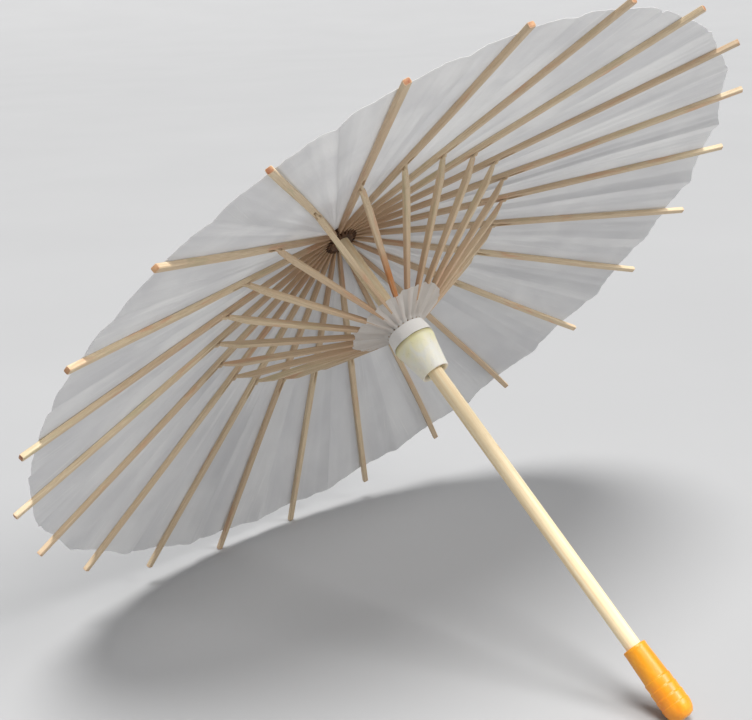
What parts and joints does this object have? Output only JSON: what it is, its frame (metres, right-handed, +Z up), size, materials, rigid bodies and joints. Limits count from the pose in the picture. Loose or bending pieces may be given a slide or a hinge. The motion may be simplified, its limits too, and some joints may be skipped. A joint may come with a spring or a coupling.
{
  "type": "paper parasol",
  "caption": "Open white paper parasol with bamboo ribs and struts, a bell-shaped sliding runner, a pale wooden shaft and an orange plastic handle cap; it folds closed.",
  "frame": {"origin": "on the ground under the middle of the open parasol's box, as it lies on two rib tips and its handle cap", "axes": "+Z up from the ground; +X level, from the handle cap towards the rib tips on the ground, in the parasol's mirror plane; +Y level, across the canopy's widest extent"},
  "size_m": [0.2984, 0.4, 0.2985],
  "materials": {
    "pale_wood": "sanded pale dowel, satin",
    "bamboo": "split bamboo, matt",
    "dark_wood": "dark, matt",
    "canopy_paper": "thin translucent white oiled paper, crinkled",
    "white_paper": "pasted white paper, matt",
    "ivory_plastic": "glossy ivory",
    "orange_plastic": "satin orange-yellow",
    "cotton": "twisted thread"
  },
  "bodies": {
    "root": {"shaft": "pale_wood", "handle_cap": "orange_plastic", "hub": "dark_wood", "hub_thread": "cotton", "crown_cap": "white_paper", "canopy_paper": "canopy_paper"},
    "rib_01": {"rib_01": "bamboo"},
    "strut_01": {"strut_01": "bamboo"},
    "rib_02": {"rib_02": "bamboo"},
    "strut_02": {"strut_02": "bamboo"},
    "rib_03": {"rib_03": "bamboo"},
    "strut_03": {"strut_03": "bamboo"},
    "rib_04": {"rib_04": "bamboo"},
    "strut_04": {"strut_04": "bamboo"},
    "rib_05": {"rib_05": "bamboo"},
    "strut_05": {"strut_05": "bamboo"},
    "rib_06": {"rib_06": "bamboo"},
    "strut_06": {"strut_06": "bamboo"},
    "rib_07": {"rib_07": "bamboo"},
    "strut_07": {"strut_07": "bamboo"},
    "rib_08": {"rib_08": "bamboo"},
    "strut_08": {"strut_08": "bamboo"},
    "rib_09": {"rib_09": "bamboo"},
    "strut_09": {"strut_09": "bamboo"},
    "rib_10": {"rib_10": "bamboo"},
    "strut_10": {"strut_10": "bamboo"},
    "rib_11": {"rib_11": "bamboo"},
    "strut_11": {"strut_11": "bamboo"},
    "rib_12": {"rib_12": "bamboo"},
    "strut_12": {"strut_12": "bamboo"},
    "rib_13": {"rib_13": "bamboo"},
    "strut_13": {"strut_13": "bamboo"},
    "rib_14": {"rib_14": "bamboo"},
    "strut_14": {"strut_14": "bamboo"},
    "rib_15": {"rib_15": "bamboo"},
    "strut_15": {"strut_15": "bamboo"},
    "rib_16": {"rib_16": "bamboo"},
    "strut_16": {"strut_16": "bamboo"},
    "rib_17": {"rib_17": "bamboo"},
    "strut_17": {"strut_17": "bamboo"},
    "rib_18": {"rib_18": "bamboo"},
    "strut_18": {"strut_18": "bamboo"},
    "rib_19": {"rib_19": "bamboo"},
    "strut_19": {"strut_19": "bamboo"},
    "rib_20": {"rib_20": "bamboo"},
    "strut_20": {"strut_20": "bamboo"},
    "rib_21": {"rib_21": "bamboo"},
    "strut_21": {"strut_21": "bamboo"},
    "rib_22": {"rib_22": "bamboo"},
    "strut_22": {"strut_22": "bamboo"},
    "rib_23": {"rib_23": "bamboo"},
    "strut_23": {"strut_23": "bamboo"},
    "runner": {"runner": "ivory_plastic", "runner_band": "white_paper", "runner_skirt": "canopy_paper", "runner_thread": "cotton"}
  },
  "joints": [
    {"name": "rib_01_fold", "type": "hinge", "parent": "root", "child": "rib_01", "pos_m": [0.06345, 0.00109, 0.18027], "axis": [-0.0908, 0.9907, 0.1015], "range_deg": [0, 67.5], "deforming": ["canopy_paper", "runner_skirt", "runner_thread"]},
    {"name": "strut_01_fold", "type": "hinge", "parent": "rib_01", "child": "strut_01", "pos_m": [0.09725, 0.01164, 0.10751], "axis": [-0.0908, 0.9907, 0.1015], "range_deg": [-127.97, 0]},
    {"name": "rib_02_fold", "type": "hinge", "parent": "root", "child": "rib_02", "pos_m": [0.06306, 0.00319, 0.1807], "axis": [-0.2656, 0.9172, 0.297], "range_deg": [0, 67.5]},
    {"name": "strut_02_fold", "type": "hinge", "parent": "rib_02", "child": "strut_02", "pos_m": [0.09306, 0.03406, 0.11219], "axis": [-0.2656, 0.9172, 0.297], "range_deg": [-127.97, 0]},
    {"name": "rib_03_fold", "type": "hinge", "parent": "root", "child": "rib_03", "pos_m": [0.06231, 0.00505, 0.18155], "axis": [-0.4207, 0.7757, 0.4704], "range_deg": [0, 67.5]},
    {"name": "strut_03_fold", "type": "hinge", "parent": "rib_03", "child": "strut_03", "pos_m": [0.085, 0.05395, 0.12121], "axis": [-0.4207, 0.7757, 0.4704], "range_deg": [-127.97, 0]},
    {"name": "rib_04_fold", "type": "hinge", "parent": "root", "child": "rib_04", "pos_m": [0.06124, 0.00654, 0.18274], "axis": [-0.5446, 0.5767, 0.609], "range_deg": [0, 67.5]},
    {"name": "strut_04_fold", "type": "hinge", "parent": "rib_04", "child": "strut_04", "pos_m": [0.07366, 0.06984, 0.13389], "axis": [-0.5446, 0.5767, 0.609], "range_deg": [-127.97, 0]},
    {"name": "rib_05_fold", "type": "hinge", "parent": "root", "child": "rib_05", "pos_m": [0.05995, 0.00754, 0.18418], "axis": [-0.6281, 0.3349, 0.7024], "range_deg": [0, 67.5]},
    {"name": "strut_05_fold", "type": "hinge", "parent": "rib_05", "child": "strut_05", "pos_m": [0.05988, 0.08055, 0.1493], "axis": [-0.6281, 0.3349, 0.7024], "range_deg": [-127.97, 0]},
    {"name": "rib_06_fold", "type": "hinge", "parent": "root", "child": "rib_06", "pos_m": [0.05853, 0.00798, 0.18577], "axis": [-0.6651, 0.0682, 0.7437], "range_deg": [0, 67.5]},
    {"name": "strut_06_fold", "type": "hinge", "parent": "rib_06", "child": "strut_06", "pos_m": [0.04468, 0.08529, 0.16629], "axis": [-0.6651, 0.0682, 0.7437], "range_deg": [-127.97, 0]},
    {"name": "rib_07_fold", "type": "hinge", "parent": "root", "child": "rib_07", "pos_m": [0.05708, 0.00783, 0.18739], "axis": [-0.6527, -0.2035, 0.7298], "range_deg": [0, 67.5]},
    {"name": "strut_07_fold", "type": "hinge", "parent": "rib_07", "child": "strut_07", "pos_m": [0.0292, 0.0837, 0.1836], "axis": [-0.6527, -0.2035, 0.7298], "range_deg": [-127.97, 0]},
    {"name": "rib_08_fold", "type": "hinge", "parent": "root", "child": "rib_08", "pos_m": [0.05572, 0.0071, 0.18892], "axis": [-0.5919, -0.4601, 0.6618], "range_deg": [0, 67.5]},
    {"name": "strut_08_fold", "type": "hinge", "parent": "rib_08", "child": "strut_08", "pos_m": [0.01458, 0.0759, 0.19995], "axis": [-0.5919, -0.4601, 0.6618], "range_deg": [-127.97, 0]},
    {"name": "rib_09_fold", "type": "hinge", "parent": "root", "child": "rib_09", "pos_m": [0.05453, 0.00585, 0.19024], "axis": [-0.4872, -0.6826, 0.5448], "range_deg": [0, 67.5]},
    {"name": "strut_09_fold", "type": "hinge", "parent": "rib_09", "child": "strut_09", "pos_m": [0.0019, 0.06248, 0.21413], "axis": [-0.4872, -0.6826, 0.5448], "range_deg": [-127.97, 0]},
    {"name": "rib_10_fold", "type": "hinge", "parent": "root", "child": "rib_10", "pos_m": [0.05361, 0.00416, 0.19127], "axis": [-0.3464, -0.8544, 0.3873], "range_deg": [0, 67.5]},
    {"name": "strut_10_fold", "type": "hinge", "parent": "rib_10", "child": "strut_10", "pos_m": [-0.0079, 0.04442, 0.22508], "axis": [-0.3464, -0.8544, 0.3873], "range_deg": [-127.97, 0]},
    {"name": "rib_11_fold", "type": "hinge", "parent": "root", "child": "rib_11", "pos_m": [0.05303, 0.00216, 0.19192], "axis": [-0.1799, -0.9629, 0.2011], "range_deg": [0, 67.5]},
    {"name": "strut_11_fold", "type": "hinge", "parent": "rib_11", "child": "strut_11", "pos_m": [-0.01408, 0.02306, 0.23199], "axis": [-0.1799, -0.9629, 0.2011], "range_deg": [-127.97, 0]},
    {"name": "rib_12_fold", "type": "hinge", "parent": "root", "child": "rib_12", "pos_m": [0.05284, 0, 0.19214], "axis": [0, -1, 0], "range_deg": [0, 67.5]},
    {"name": "strut_12_fold", "type": "hinge", "parent": "rib_12", "child": "strut_12", "pos_m": [-0.01619, 0, 0.23436], "axis": [0, -1, 0], "range_deg": [-127.97, 0]},
    {"name": "rib_13_fold", "type": "hinge", "parent": "root", "child": "rib_13", "pos_m": [0.05303, -0.00216, 0.19192], "axis": [0.1799, -0.9629, -0.2011], "range_deg": [0, 67.5]},
    {"name": "strut_13_fold", "type": "hinge", "parent": "rib_13", "child": "strut_13", "pos_m": [-0.01408, -0.02306, 0.23199], "axis": [0.1799, -0.9629, -0.2011], "range_deg": [-127.97, 0]},
    {"name": "rib_14_fold", "type": "hinge", "parent": "root", "child": "rib_14", "pos_m": [0.05361, -0.00416, 0.19127], "axis": [0.3464, -0.8544, -0.3873], "range_deg": [0, 67.5]},
    {"name": "strut_14_fold", "type": "hinge", "parent": "rib_14", "child": "strut_14", "pos_m": [-0.0079, -0.04442, 0.22508], "axis": [0.3464, -0.8544, -0.3873], "range_deg": [-127.97, 0]},
    {"name": "rib_15_fold", "type": "hinge", "parent": "root", "child": "rib_15", "pos_m": [0.05453, -0.00585, 0.19024], "axis": [0.4872, -0.6826, -0.5448], "range_deg": [0, 67.5]},
    {"name": "strut_15_fold", "type": "hinge", "parent": "rib_15", "child": "strut_15", "pos_m": [0.0019, -0.06248, 0.21413], "axis": [0.4872, -0.6826, -0.5448], "range_deg": [-127.97, 0]},
    {"name": "rib_16_fold", "type": "hinge", "parent": "root", "child": "rib_16", "pos_m": [0.05572, -0.0071, 0.18892], "axis": [0.5919, -0.4601, -0.6618], "range_deg": [0, 67.5]},
    {"name": "strut_16_fold", "type": "hinge", "parent": "rib_16", "child": "strut_16", "pos_m": [0.01458, -0.0759, 0.19995], "axis": [0.5919, -0.4601, -0.6618], "range_deg": [-127.97, 0]},
    {"name": "rib_17_fold", "type": "hinge", "parent": "root", "child": "rib_17", "pos_m": [0.05708, -0.00783, 0.18739], "axis": [0.6527, -0.2035, -0.7298], "range_deg": [0, 67.5]},
    {"name": "strut_17_fold", "type": "hinge", "parent": "rib_17", "child": "strut_17", "pos_m": [0.0292, -0.0837, 0.1836], "axis": [0.6527, -0.2035, -0.7298], "range_deg": [-127.97, 0]},
    {"name": "rib_18_fold", "type": "hinge", "parent": "root", "child": "rib_18", "pos_m": [0.05853, -0.00798, 0.18577], "axis": [0.6651, 0.0682, -0.7437], "range_deg": [0, 67.5]},
    {"name": "strut_18_fold", "type": "hinge", "parent": "rib_18", "child": "strut_18", "pos_m": [0.04468, -0.08529, 0.16629], "axis": [0.6651, 0.0682, -0.7437], "range_deg": [-127.97, 0]},
    {"name": "rib_19_fold", "type": "hinge", "parent": "root", "child": "rib_19", "pos_m": [0.05995, -0.00754, 0.18418], "axis": [0.6281, 0.3349, -0.7024], "range_deg": [0, 67.5]},
    {"name": "strut_19_fold", "type": "hinge", "parent": "rib_19", "child": "strut_19", "pos_m": [0.05988, -0.08055, 0.1493], "axis": [0.6281, 0.3349, -0.7024], "range_deg": [-127.97, 0]},
    {"name": "rib_20_fold", "type": "hinge", "parent": "root", "child": "rib_20", "pos_m": [0.06124, -0.00654, 0.18274], "axis": [0.5446, 0.5767, -0.609], "range_deg": [0, 67.5]},
    {"name": "strut_20_fold", "type": "hinge", "parent": "rib_20", "child": "strut_20", "pos_m": [0.07366, -0.06984, 0.13389], "axis": [0.5446, 0.5767, -0.609], "range_deg": [-127.97, 0]},
    {"name": "rib_21_fold", "type": "hinge", "parent": "root", "child": "rib_21", "pos_m": [0.06231, -0.00505, 0.18155], "axis": [0.4207, 0.7757, -0.4704], "range_deg": [0, 67.5]},
    {"name": "strut_21_fold", "type": "hinge", "parent": "rib_21", "child": "strut_21", "pos_m": [0.085, -0.05395, 0.12121], "axis": [0.4207, 0.7757, -0.4704], "range_deg": [-127.97, 0]},
    {"name": "rib_22_fold", "type": "hinge", "parent": "root", "child": "rib_22", "pos_m": [0.06306, -0.00319, 0.1807], "axis": [0.2656, 0.9172, -0.297], "range_deg": [0, 67.5]},
    {"name": "strut_22_fold", "type": "hinge", "parent": "rib_22", "child": "strut_22", "pos_m": [0.09306, -0.03406, 0.11219], "axis": [0.2656, 0.9172, -0.297], "range_deg": [-127.97, 0]},
    {"name": "rib_23_fold", "type": "hinge", "parent": "root", "child": "rib_23", "pos_m": [0.06345, -0.00109, 0.18027], "axis": [0.0908, 0.9907, -0.1015], "range_deg": [0, 67.5]},
    {"name": "strut_23_fold", "type": "hinge", "parent": "rib_23", "child": "strut_23", "pos_m": [0.09725, -0.01164, 0.10751], "axis": [0.0908, 0.9907, -0.1015], "range_deg": [-127.97, 0]},
    {"name": "runner_travel", "type": "hinge", "parent": "strut_01", "child": "runner", "pos_m": [0.02029, 0.00109, 0.14167], "axis": [-0.0908, 0.9907, 0.1015], "range_deg": [0, 60.47]}
  ],
  "couplings": [
    {"joint": "strut_01_fold", "follows": "rib_01_fold", "ratio": -1.8956},
    {"joint": "rib_02_fold", "follows": "rib_01_fold", "ratio": 1},
    {"joint": "strut_02_fold", "follows": "rib_01_fold", "ratio": -1.8956},
    {"joint": "rib_03_fold", "follows": "rib_01_fold", "ratio": 1},
    {"joint": "strut_03_fold", "follows": "rib_01_fold", "ratio": -1.8956},
    {"joint": "rib_04_fold", "follows": "rib_01_fold", "ratio": 1},
    {"joint": "strut_04_fold", "follows": "rib_01_fold", "ratio": -1.8956},
    {"joint": "rib_05_fold", "follows": "rib_01_fold", "ratio": 1},
    {"joint": "strut_05_fold", "follows": "rib_01_fold", "ratio": -1.8956},
    {"joint": "rib_06_fold", "follows": "rib_01_fold", "ratio": 1},
    {"joint": "strut_06_fold", "follows": "rib_01_fold", "ratio": -1.8956},
    {"joint": "rib_07_fold", "follows": "rib_01_fold", "ratio": 1},
    {"joint": "strut_07_fold", "follows": "rib_01_fold", "ratio": -1.8956},
    {"joint": "rib_08_fold", "follows": "rib_01_fold", "ratio": 1},
    {"joint": "strut_08_fold", "follows": "rib_01_fold", "ratio": -1.8956},
    {"joint": "rib_09_fold", "follows": "rib_01_fold", "ratio": 1},
    {"joint": "strut_09_fold", "follows": "rib_01_fold", "ratio": -1.8956},
    {"joint": "rib_10_fold", "follows": "rib_01_fold", "ratio": 1},
    {"joint": "strut_10_fold", "follows": "rib_01_fold", "ratio": -1.8956},
    {"joint": "rib_11_fold", "follows": "rib_01_fold", "ratio": 1},
    {"joint": "strut_11_fold", "follows": "rib_01_fold", "ratio": -1.8956},
    {"joint": "rib_12_fold", "follows": "rib_01_fold", "ratio": 1},
    {"joint": "strut_12_fold", "follows": "rib_01_fold", "ratio": -1.8956},
    {"joint": "rib_13_fold", "follows": "rib_01_fold", "ratio": 1},
    {"joint": "strut_13_fold", "follows": "rib_01_fold", "ratio": -1.8956},
    {"joint": "rib_14_fold", "follows": "rib_01_fold", "ratio": 1},
    {"joint": "strut_14_fold", "follows": "rib_01_fold", "ratio": -1.8956},
    {"joint": "rib_15_fold", "follows": "rib_01_fold", "ratio": 1},
    {"joint": "strut_15_fold", "follows": "rib_01_fold", "ratio": -1.8956},
    {"joint": "rib_16_fold", "follows": "rib_01_fold", "ratio": 1},
    {"joint": "strut_16_fold", "follows": "rib_01_fold", "ratio": -1.8956},
    {"joint": "rib_17_fold", "follows": "rib_01_fold", "ratio": 1},
    {"joint": "strut_17_fold", "follows": "rib_01_fold", "ratio": -1.8956},
    {"joint": "rib_18_fold", "follows": "rib_01_fold", "ratio": 1},
    {"joint": "strut_18_fold", "follows": "rib_01_fold", "ratio": -1.8956},
    {"joint": "rib_19_fold", "follows": "rib_01_fold", "ratio": 1},
    {"joint": "strut_19_fold", "follows": "rib_01_fold", "ratio": -1.8956},
    {"joint": "rib_20_fold", "follows": "rib_01_fold", "ratio": 1},
    {"joint": "strut_20_fold", "follows": "rib_01_fold", "ratio": -1.8956},
    {"joint": "rib_21_fold", "follows": "rib_01_fold", "ratio": 1},
    {"joint": "strut_21_fold", "follows": "rib_01_fold", "ratio": -1.8956},
    {"joint": "rib_22_fold", "follows": "rib_01_fold", "ratio": 1},
    {"joint": "strut_22_fold", "follows": "rib_01_fold", "ratio": -1.8956},
    {"joint": "rib_23_fold", "follows": "rib_01_fold", "ratio": 1},
    {"joint": "strut_23_fold", "follows": "rib_01_fold", "ratio": -1.8956},
    {"joint": "runner_travel", "follows": "rib_01_fold", "ratio": 0.89564}
  ]
}
